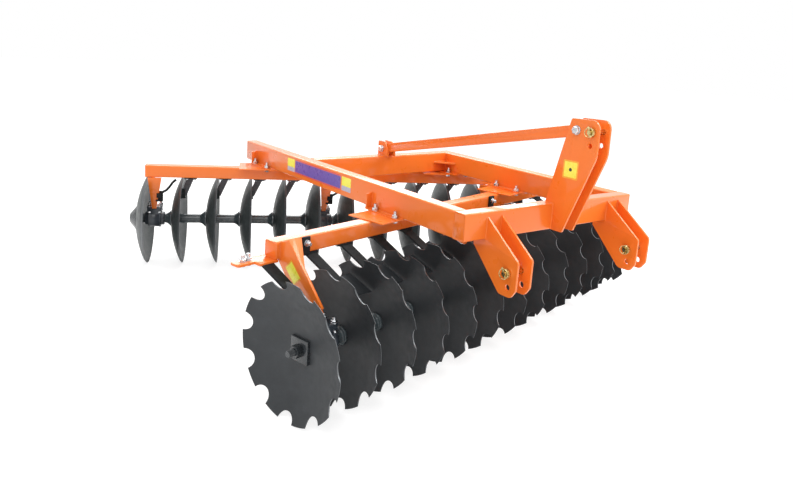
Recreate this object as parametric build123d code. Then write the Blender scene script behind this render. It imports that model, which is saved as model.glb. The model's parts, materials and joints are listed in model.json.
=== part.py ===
from build123d import *
import math
import os

# Mounted offset disc harrow, in millimetres.
# X runs to the machine's left, Y to its rear and Z up; the discs stand on z = 0.
# Each gang has its own axes: along its shaft, rearwards across it, and up.

# Discs
disc_radius = 305.0
disc_spacing = 230.0
disc_thickness = 6.0
disc_dish = 72.0
disc_flat_radius = 75.0
disc_edge = 2.0
disc_bevel = 14.0
notch_count = 11
notch_radius = 44.0
notch_centre_out = 3.0
first_tooth_angle = 14.4

# Gang shafts and spools
shaft_side = 32.0
shaft_play = 0.5
spool_radius = 31.0
spool_flare_radius = 55.0
spool_flare_length = 34.0
spool_flare_land = 8.0
spool_collar_radius = 44.0
spool_collar_length = 12.0
end_washer_side = 104.0
end_washer_thickness = 14.0
end_nut_across = 50.0
end_nut_thickness = 30.0
shaft_thread_radius = 14.0
shaft_thread_length = 62.0
end_bell_radius = 88.0
end_bell_length = 46.0
end_bell_tip_radius = 30.0

# Gangs: place of the first disc's rim on the ground, and the shaft's turn from the front beam
front_gang_disc_count = 13
rear_gang_disc_count = 12
front_gang_angle = 12.4
rear_gang_angle = -25.4
rear_gang_x = 172.7
rear_gang_y = 2326.0
bearing_gaps = (0, 5, 11)
rear_bearing_gaps = (0, 5, 10)

# Bearings
bearing_play = 0.06
bearing_barrel_radius = 60.0
bearing_barrel_length = 84.0
bearing_neck_radius = 46.0
bearing_length = 128.0
bearing_pad_height = 76.0
bearing_pad_width = 96.0

# Gang beams: their distance behind or before the shafts, and their ends from the first rim
gang_beam_side = 80.0
gang_beam_wall = 6.0
gang_beam_over_discs = 3.0
front_beam_back = 260.0
rear_beam_front = 120.0
front_beam_start = 140.0
rear_beam_start = -10.0
front_beam_overrun = -40.0
rear_beam_overrun = 30.0

# Main frame
frame_height = 132.0
frame_width = 80.0
frame_wall = 8.0
frame_corner = 9.0
end_cap_thickness = 6.0
frame_front_y = -100.0
right_beam_x = 831.0
frame_span_x = 1226.0
cross_beam_y = 1360.0
right_beam_end_y = 2200.0
gusset_side = 110.0
gusset_thickness = 10.0
gusset_up = 62.0

# Crossings: a plate on each gang beam, one under each side beam, four bolts and an upright rib
crossing_plate_thickness = 6.0
gang_plate_length = 420.0
gang_plate_width = 236.0
frame_plate_length = 290.0
frame_plate_reach = 36.0
crossing_bolt_radius = 8.0
crossing_bolt_out = 19.0
crossing_bolt_half_span = 88.0
rib_thickness = 12.0
rib_height = 84.0
rib_edge = 6.0

# Hangers from the gang beams to the bearings, those of the front gang beside the bearings' middle
hanger_plate = 12.0
hanger_flange = 10.0
front_hanger_brow = 46.0
front_hanger_brow_up = 14.0
front_hanger_knee = 10.0
front_hanger_knee_up = 66.0
front_hanger_heel_up = 47.0
front_hanger_calf = 55.0
front_hanger_calf_up = 134.0
front_hanger_under_beam = 18.0
# columns: share of the way down the flange, its reach to the near and far side of the plate's middle
front_flange_rows = ((0.0, 6.0, 68.0), (0.42, 6.0, 9.0), (1.0, 6.0, 7.0))
rear_flange_rows = ((0.0, 33.0, 56.0), (1.0, 14.0, 14.0))
front_hanger_offset = -22.0
rear_hanger_offset = 0.0
hanger_foot_thickness = 12.0
hanger_foot_depth = 92.0
hanger_foot_width = 96.0

# Lower hitch
hitch_centre_x = 1467.0
hitch_half_span = 445.0
hitch_plate = 12.0
hitch_gap = 80.0
hitch_pin_radius = 14.0
hitch_pin_head = 9.0
hitch_pin_spare = 24.0
pin_hole_play = 0.3
hitch_pin_forward = 154.0
hitch_pin_down = 118.0
hitch_hole_forward = 161.0
hitch_hole_down = 184.0
hitch_reach = 213.0
hitch_drop = 229.0

# Mast and tie bar
mast_plate = 12.0
mast_gap = 70.0
mast_height = 439.0
mast_reach = 224.0
mast_top_back = 60.0
mast_foot_reach = 68.0
mast_foot_back = 53.0
mast_knee_down = 174.0
mast_pin_forward = 186.0
mast_pin_down = 54.0
mast_hole_forward = 181.0
mast_hole_down = 120.0
mast_bolt_forward = 97.0
mast_bolt_down = 54.0
top_pin_radius = 12.5
tie_bolt_radius = 12.0
tie_bolt_spare = 16.0
tie_bar_height = 58.0
tie_bar_width = 40.0
tie_ear_plate = 12.0
tie_ear_height = 95.0
tie_ear_overhang = 30.0
tie_ear_bolt_in = 40.0
tie_ear_bolt_up = 46.0
side_play = 0.3

# End plate under the near end of the front gang beam
end_plate_reach = 175.0
end_plate_width = 62.0
end_plate_length = 188.0

# Straps with a bolt on the front gang beam's front face, by their place along it
strap_places = (307.0, 1835.0)
strap_width = 46.0
strap_thickness = 12.0
strap_overlap = 6.0

# Scrapers: a leg under the gang beam, a sloping shank and a blade shaped to the dish
scraper_leg_thickness = 12.0
scraper_leg_width = 84.0
scraper_shank_thickness = 10.0
scraper_blade_thickness = 6.0
scraper_clearance = 7.0
scraper_root_in = 14.0
# columns: shank's slope, length, root and tip beside the rim, widths there, blade's run, leg's length
front_scraper_sizes = (30.0, 240.0, 110.0, 82.0, 62.0, 56.0, (165.0, 300.0), 76.0)
rear_scraper_sizes = (57.0, 172.0, 50.0, -6.0, 46.0, 42.0, (95.0, 205.0), 44.0)
rear_scraper_in = 66.0
first_scraper_shift = -26.0

# Worked out from the sizes above
gang_beam_bottom = 2 * disc_radius + gang_beam_over_discs
gang_beam_top = gang_beam_bottom + gang_beam_side
frame_bottom = gang_beam_top + 2 * crossing_plate_thickness
frame_top = frame_bottom + frame_height
mast_top = frame_top + mast_height
left_beam_x = right_beam_x + frame_span_x - frame_width
frame_back_y = frame_front_y + frame_width
dish_centre = (disc_dish**2 + disc_flat_radius**2 - disc_radius**2) / (2 * disc_dish)
dish_sphere = math.hypot(dish_centre, disc_radius)
apex_out = disc_dish + disc_thickness
front_gang_place = Location((0, 0, 0), (0, 0, front_gang_angle))
rear_gang_place = Location((rear_gang_x, rear_gang_y, 0), (0, 0, rear_gang_angle))

nodes = {}


def add(name, shapes):
    """Keep the solids of one node under its name."""
    shapes = shapes if isinstance(shapes, list) else [shapes]
    solids = [solid for shape in shapes for solid in shape.solids()]
    nodes[name] = solids


def block(x0, x1, y0, y1, z0, z1):
    """A plain block between two corners."""
    size = Box(x1 - x0, y1 - y0, z1 - z0)
    return Pos((x0 + x1) / 2, (y0 + y1) / 2, (z0 + z1) / 2) * size


def tube(x0, x1, y0, y1, z0, z1, along, wall):
    """A box tube with rounded long edges along X or Y, and the caps that close its two ends."""
    outer = block(x0, x1, y0, y1, z0, z1)
    outer = fillet(outer.edges().filter_by(Axis.X if along == "X" else Axis.Y), frame_corner)
    cap = end_cap_thickness
    if along == "X":
        inner = block(x0, x1, y0 + wall, y1 - wall, z0 + wall, z1 - wall)
        caps = [inner & block(x, x + cap, y0, y1, z0, z1) for x in (x0, x1 - cap)]
    else:
        inner = block(x0 + wall, x1 - wall, y0, y1, z0 + wall, z1 - wall)
        caps = [inner & block(x0, x1, y, y + cap, z0, z1) for y in (y0, y1 - cap)]
    return outer - inner, caps


def side_plate(points, x0, thickness):
    """A plate across X from an outline of (y, z) or (y, z, corner radius) points."""
    face = make_face(Polyline([(point[0], point[1]) for point in points], close=True))
    for point in points:
        if len(point) > 2:
            corner = face.vertices().sort_by_distance(Vector(point[0], point[1], 0))[0]
            face = fillet(corner, point[2])
    return Pos(x0, 0, 0) * extrude(Plane.YZ * face, thickness)


def cross_pin(y, z, x0, x1, radius):
    """A round bar along X between two places."""
    bar = Rot(0, 90, 0) * Cylinder(radius, x1 - x0)
    return Pos((x0 + x1) / 2, y, z) * bar


def ring_of_revolution(points):
    """A solid turned about the X axis from (x, r) points."""
    face = make_face(Polyline([(x, r) for x, r in points], close=True))
    return revolve(Plane.XZ * face, Axis.X)


# Discs

def disc_blank():
    """A dished disc, its rim in the plane x = 0 and its back towards +X."""
    back_sphere = dish_sphere + disc_thickness
    inner_mid_r = (disc_radius + disc_flat_radius) / 2
    inner_mid_x = dish_centre + math.sqrt(dish_sphere**2 - inner_mid_r**2)
    bevel_r = disc_radius - disc_bevel
    bevel_x = dish_centre + math.sqrt(back_sphere**2 - bevel_r**2)
    back_flat_r = math.sqrt(back_sphere**2 - (apex_out - dish_centre) ** 2)
    back_mid_r = (bevel_r + back_flat_r) / 2
    back_mid_x = dish_centre + math.sqrt(back_sphere**2 - back_mid_r**2)
    front_arc = ThreePointArc((0, disc_radius), (inner_mid_x, inner_mid_r), (disc_dish, disc_flat_radius))
    back_arc = ThreePointArc((apex_out, back_flat_r), (back_mid_x, back_mid_r), (bevel_x, bevel_r))
    outline = Curve() + [
        front_arc,
        Polyline((disc_dish, disc_flat_radius), (disc_dish, 0), (apex_out, 0), (apex_out, back_flat_r)),
        back_arc,
        Polyline((bevel_x, bevel_r), (disc_edge, disc_radius), (0, disc_radius)),
    ]
    turned = revolve(Plane.XZ * make_face(outline), Axis.X)
    hole_side = shaft_side + 2 * shaft_play
    hole = block(0, 2 * apex_out, -hole_side / 2, hole_side / 2, -hole_side / 2, hole_side / 2)
    return turned - hole


def notched_disc():
    """The dished disc with round notches cut in its rim."""
    cutters = []
    for i in range(notch_count):
        angle = math.radians(first_tooth_angle + (i + 0.5) * 360 / notch_count)
        reach = disc_radius + notch_centre_out
        cutter = Rot(0, 90, 0) * Cylinder(notch_radius, 4 * apex_out)
        cutters.append(Pos(0, -reach * math.sin(angle), -reach * math.cos(angle)) * cutter)
    return disc_blank() - cutters


def plain_spool(length):
    """A spool from its flare on a disc's back, at x = 0, to its collar on the next disc."""
    flare_end = spool_flare_land + spool_flare_length
    body = ring_of_revolution([
        (0, 0),
        (0, spool_flare_radius),
        (spool_flare_land, spool_flare_radius),
        (flare_end, spool_radius),
        (length - spool_collar_length, spool_radius),
        (length - spool_collar_length, spool_collar_radius),
        (length, spool_collar_radius),
        (length, 0),
    ])
    hole_side = shaft_side + 2 * shaft_play
    hole = block(-1, length + 1, -hole_side / 2, hole_side / 2, -hole_side / 2, hole_side / 2)
    return body - hole


def bearing_housing():
    """A cast housing round the spool, its middle at x = 0, with a pad for the hanger's foot."""
    half = bearing_length / 2
    barrel_half = bearing_barrel_length / 2
    barrel = ring_of_revolution([
        (-half, 0),
        (-half, bearing_neck_radius),
        (-barrel_half - 10, bearing_neck_radius),
        (-barrel_half, bearing_barrel_radius),
        (barrel_half, bearing_barrel_radius),
        (barrel_half + 10, bearing_neck_radius),
        (half, bearing_neck_radius),
        (half, 0),
    ])
    pad_half = bearing_pad_width / 2
    pad = block(-pad_half, pad_half, -pad_half, pad_half, 0, bearing_pad_height)
    bore = Rot(0, 90, 0) * Cylinder(spool_radius + bearing_play, bearing_length + 2)
    return barrel + pad - bore


def gang_rotor(name, place, count, back_sign, blade, end_parts):
    """The discs, spools and shaft of one gang; back_sign is +1 where the backs face +X."""
    spool_length = disc_spacing - disc_thickness
    flip = Location((0, 0, 0)) if back_sign > 0 else Location((0, 0, 0), (0, 0, 180))
    spool = plain_spool(spool_length)
    discs = []
    for i in range(count):
        half_turn = 180 * (i % 2)
        discs.append(Pos(i * disc_spacing, 0, disc_radius) * flip * Rot(half_turn, 0, 0) * blade)
    add(name + "_discs", [place * disc for disc in discs])
    spools = []
    for i in range(count - 1):
        start = i * disc_spacing + apex_out if back_sign > 0 else (i + 1) * disc_spacing - apex_out
        spools.append(Pos(start, 0, disc_radius) * flip * spool)
    add(name + "_spools", [place * piece for piece in spools])
    for node, shape in end_parts.items():
        add(node, place * (Pos(0, 0, disc_radius) * shape))


def shaft_bar(x0, x1):
    """The square shaft with a round threaded stub past its near end."""
    half = shaft_side / 2
    stub = cross_pin(0, 0, x0 - shaft_thread_length, x0, shaft_thread_radius)
    return block(x0, x1, -half, half, -half, half) + stub


def end_nut(x0, x1):
    """A hexagon nut along X with a plain hole for the threaded stub."""
    nut = extrude(Plane.YZ.offset(x0) * RegularPolygon(end_nut_across / 2, 6, major_radius=False), x1 - x0)
    return nut - cross_pin(0, 0, x0 - 1, x1 + 1, shaft_thread_radius + side_play)


def square_washer(x0, x1):
    """The thick square washer at the end of a gang."""
    half = end_washer_side / 2
    hole = shaft_side / 2 + shaft_play
    return block(x0, x1, -half, half, -half, half) - block(x0 - 1, x1 + 1, -hole, hole, -hole, hole)


# Front gang: discs open to the near side, backs towards +X
front_last = (front_gang_disc_count - 1) * disc_spacing
front_washer_x = disc_dish - end_washer_thickness
front_nut_x = front_washer_x - end_nut_thickness
front_shaft_end = front_last + apex_out + end_washer_thickness
gang_rotor(
    "front_gang", front_gang_place, front_gang_disc_count, 1, notched_disc(),
    {
        "front_gang_shaft": shaft_bar(front_washer_x, front_shaft_end + 20),
        "front_gang_end_washer": square_washer(front_washer_x, disc_dish),
        "front_gang_nut": end_nut(front_nut_x, front_washer_x),
        "front_gang_far_washer": square_washer(front_last + apex_out, front_shaft_end),
    },
)

# Rear gang: plain discs, backs towards -X, an end bell on the first back
rear_last = (rear_gang_disc_count - 1) * disc_spacing
rear_bell_x = -apex_out - end_bell_length
end_bell = ring_of_revolution([
    (rear_bell_x, 0),
    (rear_bell_x, end_bell_tip_radius),
    (-apex_out, end_bell_radius),
    (-apex_out, 0),
])
bell_hole = shaft_side / 2 + shaft_play
end_bell = end_bell - block(rear_bell_x - 1, 0, -bell_hole, bell_hole, -bell_hole, bell_hole)
rear_shaft_end = rear_last - disc_dish + end_washer_thickness
gang_rotor(
    "rear_gang", rear_gang_place, rear_gang_disc_count, -1, disc_blank(),
    {
        "rear_gang_shaft": block(
            rear_bell_x + 2, rear_shaft_end + 20,
            -shaft_side / 2, shaft_side / 2, -shaft_side / 2, shaft_side / 2,
        ),
        "rear_gang_end_bell": end_bell,
        "rear_gang_far_washer": square_washer(rear_last - disc_dish, rear_shaft_end),
    },
)


# Bearings and hangers

def tapered_flange(edge, x, rows):
    """The flange on a hanger's front edge, wide at the beam and narrow between the discs."""
    (y0, z0), (y1, z1) = edge
    outward = Vector(0, z1 - z0, y0 - y1).normalized()
    levels = [(y0 + share * (y1 - y0), z0 + share * (z1 - z0)) for share, near, far in rows]
    near_side = [(x - near, y, z) for (share, near, far), (y, z) in zip(rows, levels)]
    far_side = [(x + far, y, z) for (share, near, far), (y, z) in zip(rows, levels)]
    return extrude(make_face(Polyline(near_side + far_side[::-1], close=True)), hanger_flange, dir=outward)


def hanger_set(name, place, bearings, offset, outline, edge, flange_rows):
    """The hangers at the bearing places of one gang: plate, foot and front flange."""
    foot_z = disc_radius + bearing_pad_height
    half_w = hanger_foot_width / 2
    half_d = hanger_foot_depth / 2
    shapes = []
    for bearing in bearings:
        x = bearing + offset
        plate = side_plate(outline, x - hanger_plate / 2, hanger_plate)
        foot = block(
            bearing - half_w, bearing + half_w, -half_d, half_d, foot_z, foot_z + hanger_foot_thickness
        )
        shapes.append(place * (plate + foot + tapered_flange(edge, x, flange_rows)))
    add(name, shapes)


foot_top = disc_radius + bearing_pad_height + hanger_foot_thickness
foot_half = hanger_foot_depth / 2
front_outline = [
    # back from the shaft, height
    (front_beam_back, gang_beam_bottom),
    (front_beam_back, gang_beam_top),
    (front_beam_back - front_hanger_brow, gang_beam_top + front_hanger_brow_up),
    (-front_hanger_knee, foot_top + front_hanger_knee_up),
    (-foot_half, foot_top - hanger_foot_thickness / 2),
    (foot_half, foot_top - hanger_foot_thickness / 2),
    (foot_half, foot_top + front_hanger_heel_up),
    (front_beam_back - front_hanger_calf, foot_top + front_hanger_calf_up),
    (front_beam_back + front_hanger_under_beam, gang_beam_bottom),
]
rear_outline = [
    # back from the shaft, height
    (gang_beam_side - rear_beam_front, gang_beam_bottom),
    (-rear_beam_front, gang_beam_bottom),
    (-foot_half, foot_top - hanger_foot_thickness / 2),
    (foot_half, foot_top - hanger_foot_thickness / 2),
]
front_bearings = [apex_out + (gap + 0.5) * disc_spacing - disc_thickness / 2 for gap in bearing_gaps]
rear_bearings = [(gap + 0.5) * disc_spacing - apex_out + disc_thickness / 2 for gap in rear_bearing_gaps]
add("front_bearings", [front_gang_place * (Pos(x, 0, disc_radius) * bearing_housing()) for x in front_bearings])
add("rear_bearings", [rear_gang_place * (Pos(x, 0, disc_radius) * bearing_housing()) for x in rear_bearings])
hanger_set(
    "front_hangers", front_gang_place, front_bearings, front_hanger_offset,
    front_outline, (front_outline[2], front_outline[3]), front_flange_rows,
)
hanger_set(
    "rear_hangers", rear_gang_place, rear_bearings, rear_hanger_offset,
    rear_outline, (rear_outline[1], rear_outline[2]), rear_flange_rows,
)

# Gang beams
front_beam_finish = front_last + apex_out + front_beam_overrun
rear_beam_finish = rear_last + rear_beam_overrun
front_gang_beam, front_gang_caps = tube(
    front_beam_start, front_beam_finish, front_beam_back, front_beam_back + gang_beam_side,
    gang_beam_bottom, gang_beam_top, "X", gang_beam_wall,
)
rear_gang_beam, rear_gang_caps = tube(
    rear_beam_start, rear_beam_finish, -rear_beam_front, -rear_beam_front + gang_beam_side,
    gang_beam_bottom, gang_beam_top, "X", gang_beam_wall,
)
add("front_gang_beam", front_gang_place * front_gang_beam)
add("rear_gang_beam", rear_gang_place * rear_gang_beam)

# Main frame
frame_levels = (frame_bottom, frame_top)
right_inner_x = right_beam_x + frame_width
left_outer_x = left_beam_x + frame_width
cross_back_y = cross_beam_y + frame_width
front_beam, front_caps = tube(
    right_beam_x, left_outer_x, frame_front_y, frame_back_y, *frame_levels, "X", frame_wall
)
right_beam, right_caps = tube(
    right_beam_x, right_inner_x, frame_back_y, right_beam_end_y, *frame_levels, "Y", frame_wall
)
left_beam, left_caps = tube(
    left_beam_x, left_outer_x, frame_back_y, cross_back_y, *frame_levels, "Y", frame_wall
)
cross_beam, cross_caps = tube(
    right_inner_x, left_beam_x, cross_beam_y, cross_back_y, *frame_levels, "X", frame_wall
)
add("front_beam", front_beam)
add("right_side_beam", right_beam)
add("left_side_beam", left_beam)
add("cross_beam", cross_beam)
gang_caps = [front_gang_place * cap for cap in front_gang_caps] + [rear_gang_place * cap for cap in rear_gang_caps]
add("beam_end_caps", front_caps + [right_caps[1], left_caps[1]] + gang_caps)


def corner_gusset(x, toward):
    """A flat three-cornered plate in the corner of the cross beam and a side beam."""
    corners = [(x, cross_beam_y), (x + toward * gusset_side, cross_beam_y), (x, cross_beam_y - gusset_side)]
    plate = extrude(make_face(Polyline(corners, close=True)), gusset_thickness)
    return Pos(0, 0, frame_bottom + gusset_up) * plate


add("corner_gussets", [corner_gusset(right_inner_x, 1), corner_gusset(left_beam_x, -1)])


# Crossings of the side beams and the gang beams

def crossing(place, across, beam_x):
    """The place where a side beam's middle line crosses a gang beam's middle line."""
    start = place * Pos(0, across, 0)
    ahead = place * Pos(1, across, 0)
    along = (beam_x - start.position.X) / (ahead.position.X - start.position.X)
    return place * Pos(along, across, 0)


def level_spot(spot):
    """The same place with the side beams' own directions."""
    return Pos(spot.position.X, spot.position.Y, 0)


def bolt_holes(spot):
    """The four bolts of a crossing, beside the side beam and on both sides of the gang beam."""
    out = frame_width / 2 + crossing_bolt_out
    hole = Cylinder(crossing_bolt_radius + pin_hole_play, 4 * gang_beam_top)
    places = [(x, y) for x in (-out, out) for y in (-crossing_bolt_half_span, crossing_bolt_half_span)]
    skew = (spot * Pos(1, 0, 0)).position - spot.position
    return [level_spot(spot) * Pos(x, y + x * skew.Y / skew.X, 0) * hole for x, y in places]


def gang_plate(spot):
    """The plate on top of a gang beam, turned with it."""
    plate = Box(gang_plate_length, gang_plate_width, crossing_plate_thickness)
    return spot * Pos(0, 0, gang_beam_top + crossing_plate_thickness / 2) * plate - bolt_holes(spot)


def frame_plate(spot):
    """The plate under a side beam, square with it."""
    plate = Box(frame_width + 2 * frame_plate_reach, frame_plate_length, crossing_plate_thickness)
    level = gang_beam_top + 1.5 * crossing_plate_thickness
    return level_spot(spot) * Pos(0, 0, level) * plate - bolt_holes(spot)


def crossing_rib(spot, beam_face, outward):
    """The upright rib between the upper plate and the side beam's outer face."""
    y = spot.position.Y + frame_plate_length / 2 - rib_edge
    outline = [(0, 0), (frame_plate_reach, 0), (frame_plate_reach, rib_height - 8), (0, rib_height)]
    rib = extrude(Plane.XZ * make_face(Polyline(outline, close=True)), rib_thickness / 2, both=True)
    turn = Rot(0, 0, 0) if outward > 0 else Rot(0, 0, 180)
    return Pos(beam_face, y, frame_bottom) * turn * rib


front_across = front_beam_back + gang_beam_side / 2
rear_across = -rear_beam_front + gang_beam_side / 2
side_beams = (
    # middle line, outer face, outward side
    (right_beam_x + frame_width / 2, right_beam_x, -1),
    (left_beam_x + frame_width / 2, left_outer_x, 1),
)
spots = []
for place, across in ((front_gang_place, front_across), (rear_gang_place, rear_across)):
    for middle, face, outward in side_beams:
        spots.append((crossing(place, across, middle), face, outward))
add("gang_beam_plates", [gang_plate(spot) for spot, face, outward in spots])
add("frame_plates", [frame_plate(spot) for spot, face, outward in spots])
add("crossing_ribs", [crossing_rib(spot, face, outward) for spot, face, outward in spots])

# Lower hitch plates, two to a side, held to the front beam
hitch_outline = [
    # back from the frame's front face, height, corner radius
    (frame_front_y, frame_top - 24),
    (frame_front_y - hitch_reach, frame_bottom - 55, 24),
    (frame_front_y - hitch_reach + 2, frame_bottom - hitch_drop + 40, 26),
    (frame_front_y - hitch_reach + 30, frame_bottom - hitch_drop, 26),
    (frame_front_y - 110, frame_bottom - hitch_drop, 34),
    (frame_back_y - 2, frame_bottom - 40),
    (frame_back_y - 2, frame_bottom),
    (frame_front_y, frame_bottom),
]
hitch_holes = (
    # forward of the frame, under it
    (hitch_pin_forward, hitch_pin_down),
    (hitch_hole_forward, hitch_hole_down),
)
hitch_pin_y = frame_front_y - hitch_pin_forward
hitch_pin_z = frame_bottom - hitch_pin_down


def hitch_pair(centre_x):
    """Two hitch plates with the pin hole and the lower hole through both."""
    plates = []
    for x0 in (centre_x - hitch_gap / 2 - hitch_plate, centre_x + hitch_gap / 2):
        holes = [
            cross_pin(frame_front_y - forward, frame_bottom - down, x0, x0 + hitch_plate, hitch_pin_radius + pin_hole_play)
            for forward, down in hitch_holes
        ]
        plates.append(side_plate(hitch_outline, x0, hitch_plate) - holes)
    return plates


def headed_pin(y, z, centre_x, half_width, radius, head):
    """A pin across two plates, its head bearing on the nearer plate."""
    start = centre_x - half_width - side_play
    pin = cross_pin(y, z, start, centre_x + half_width + hitch_pin_spare, radius)
    return pin + cross_pin(y, z, start - hitch_plate, start, radius + head)


right_hitch_x = hitch_centre_x - hitch_half_span
left_hitch_x = hitch_centre_x + hitch_half_span
hitch_reach_x = hitch_gap / 2 + hitch_plate
add("right_hitch_plates", hitch_pair(right_hitch_x))
add("left_hitch_plates", hitch_pair(left_hitch_x))
for name, x in (("right_hitch_pin", right_hitch_x), ("left_hitch_pin", left_hitch_x)):
    add(name, headed_pin(hitch_pin_y, hitch_pin_z, x, hitch_reach_x, hitch_pin_radius, hitch_pin_head))

# Mast: two plates notched over the front beam
mast_outline = [
    # back from the frame's front face, height, corner radius
    (frame_front_y + mast_foot_back, frame_top),
    (frame_front_y - mast_top_back, mast_top, 14),
    (frame_front_y - mast_reach, mast_top + 4, 42),
    (frame_front_y - mast_reach, mast_top - mast_knee_down, 130),
    (frame_front_y - mast_foot_reach, frame_bottom, 10),
    (frame_front_y, frame_bottom),
    (frame_front_y, frame_top),
]
mast_holes = (
    # forward of the beam, under the top, radius
    (mast_pin_forward, mast_pin_down, top_pin_radius),
    (mast_hole_forward, mast_hole_down, top_pin_radius),
    (mast_bolt_forward, mast_bolt_down, tie_bolt_radius),
)
mast_plates = []
for start in (hitch_centre_x - mast_gap / 2 - mast_plate, hitch_centre_x + mast_gap / 2):
    holes = [
        cross_pin(frame_front_y - forward, mast_top - down, start, start + mast_plate, radius + pin_hole_play)
        for forward, down, radius in mast_holes
    ]
    mast_plates.append(side_plate(mast_outline, start, mast_plate) - holes)
add("mast_plates", mast_plates)
mast_half = mast_gap / 2 + mast_plate
add("top_link_pin", headed_pin(
    frame_front_y - mast_pin_forward, mast_top - mast_pin_down, hitch_centre_x, mast_half,
    top_pin_radius, hitch_pin_head,
))

# Tie bar from the mast's top back to ears on the cross beam
tie_front = (frame_front_y - mast_bolt_forward, mast_top - mast_bolt_down)
tie_rear = (cross_beam_y + tie_ear_bolt_in, frame_top + tie_ear_bolt_up)
tie_slope = math.degrees(math.atan2(tie_rear[1] - tie_front[1], tie_rear[0] - tie_front[0]))
tie_face = Rot(0, 0, tie_slope) * SlotCenterToCenter(math.dist(tie_front, tie_rear), tie_bar_height)
tie_middle = Pos(hitch_centre_x, (tie_front[0] + tie_rear[0]) / 2, (tie_front[1] + tie_rear[1]) / 2)
tie_bar = tie_middle * extrude(Plane.YZ * tie_face, tie_bar_width / 2, both=True)
tie_half = tie_bar_width / 2
tie_hole = tie_bolt_radius + pin_hole_play
for y, z in (tie_front, tie_rear):
    tie_bar = tie_bar - cross_pin(y, z, hitch_centre_x - tie_half, hitch_centre_x + tie_half, tie_hole)
add("tie_bar", tie_bar)
ear_outline = [
    # back, height, corner radius
    (cross_back_y, frame_top),
    (cross_back_y, frame_top + tie_ear_height, 10),
    (tie_rear[0] - tie_ear_overhang, frame_top + tie_ear_height, 24),
    (cross_beam_y - tie_ear_overhang, tie_rear[1], 14),
    (cross_beam_y - tie_ear_overhang, frame_top),
]
ears = []
for x0 in (hitch_centre_x - tie_half - side_play - tie_ear_plate, hitch_centre_x + tie_half + side_play):
    hole = cross_pin(*tie_rear, x0, x0 + tie_ear_plate, tie_hole)
    ears.append(side_plate(ear_outline, x0, tie_ear_plate) - hole)
add("tie_bar_ears", ears)
ear_half = tie_half + side_play + tie_ear_plate
for name, place, half in (
    # name, place, half the stack it goes through
    ("tie_bar_front_bolt", tie_front, mast_half),
    ("tie_bar_rear_bolt", tie_rear, ear_half),
):
    reach = half + tie_bolt_spare
    add(name, cross_pin(*place, hitch_centre_x - reach, hitch_centre_x + reach, tie_bolt_radius))


# Scrapers

def dish_depth(r):
    """How far the hollow face of a disc lies behind its rim at radius r."""
    return dish_centre + math.sqrt(dish_sphere**2 - r**2)


def scraper(back_sign, y, slope, length, root_out, tip_out, root_width, tip_width, blade_run, leg_length):
    """Leg, shank and blade of one scraper for a disc whose rim is at x = 0.

    The shank starts under the beam at depth y and runs to the disc's hollow face, forwards
    for the front gang and rearwards for the rear one.
    """
    toward = -back_sign
    start_z = gang_beam_bottom - scraper_leg_thickness / 2
    run = Vector(0, toward * math.cos(math.radians(slope)), -math.sin(math.radians(slope)))
    plane = Plane(origin=(0, y, start_z), x_dir=(1, 0, 0), z_dir=Vector(1, 0, 0).cross(run))
    down = -1 if plane.z_dir.Z > 0 else 1
    root_half, tip_half = root_width / 2, tip_width / 2
    leg_end = y + toward * scraper_root_in
    leg_y = sorted((leg_end, leg_end - toward * leg_length))
    root = -back_sign * root_out
    tip = -back_sign * tip_out
    leg = block(
        root - scraper_leg_width / 2, root + scraper_leg_width / 2, *leg_y,
        gang_beam_bottom - scraper_leg_thickness, gang_beam_bottom,
    )
    corners = [
        (root - root_half, 0), (root + root_half, 0), (tip + tip_half, length), (tip - tip_half, length),
    ]
    shank = plane * make_face(Polyline(corners, close=True))
    shank = extrude(shank, scraper_shank_thickness / 2, both=True) - leg
    first, last = blade_run
    edge = []
    for i in range(5):
        s = first + (last - first) * i / 4
        r = math.hypot(y + run.Y * s, start_z + run.Z * s - disc_radius)
        edge.append((back_sign * (dish_depth(r) - scraper_clearance), s))
    heel = tip - back_sign * (tip_half - scraper_blade_thickness)
    blade = make_face(Polyline(edge + [(heel, last - 10), (heel, first + 20)], close=True))
    under = plane.offset(down * scraper_shank_thickness / 2)
    return leg, shank, extrude(under * blade, down * scraper_blade_thickness)


def scraper_set(name, place, gaps, rims, back_sign, y, sizes, first_leg):
    """The scrapers of one gang, but none in the gaps that a hanger fills."""
    leg, shank, blade = scraper(back_sign, y, *sizes)
    side = 1 if back_sign > 0 else 0
    free = [place * Pos(rims[gap + side], 0, 0) for gap in range(len(rims) - 1) if gap not in gaps]
    add(name + "_legs", [spot * leg for spot in free])
    add(name + "_blades", [spot * blade for spot in free])
    if first_leg:
        free = [place * Pos(rims[side] + first_scraper_shift, 0, 0)] + free
    add(name + "_shanks", [spot * shank for spot in free])


front_rims = [i * disc_spacing for i in range(front_gang_disc_count)]
rear_rims = [i * disc_spacing for i in range(rear_gang_disc_count)]
scraper_set(
    "front_scraper", front_gang_place, bearing_gaps, front_rims, 1,
    front_beam_back + scraper_root_in, front_scraper_sizes, True,
)
scraper_set(
    "rear_scraper", rear_gang_place, rear_bearing_gaps, rear_rims, -1,
    rear_scraper_in - rear_beam_front, rear_scraper_sizes, False,
)

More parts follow.
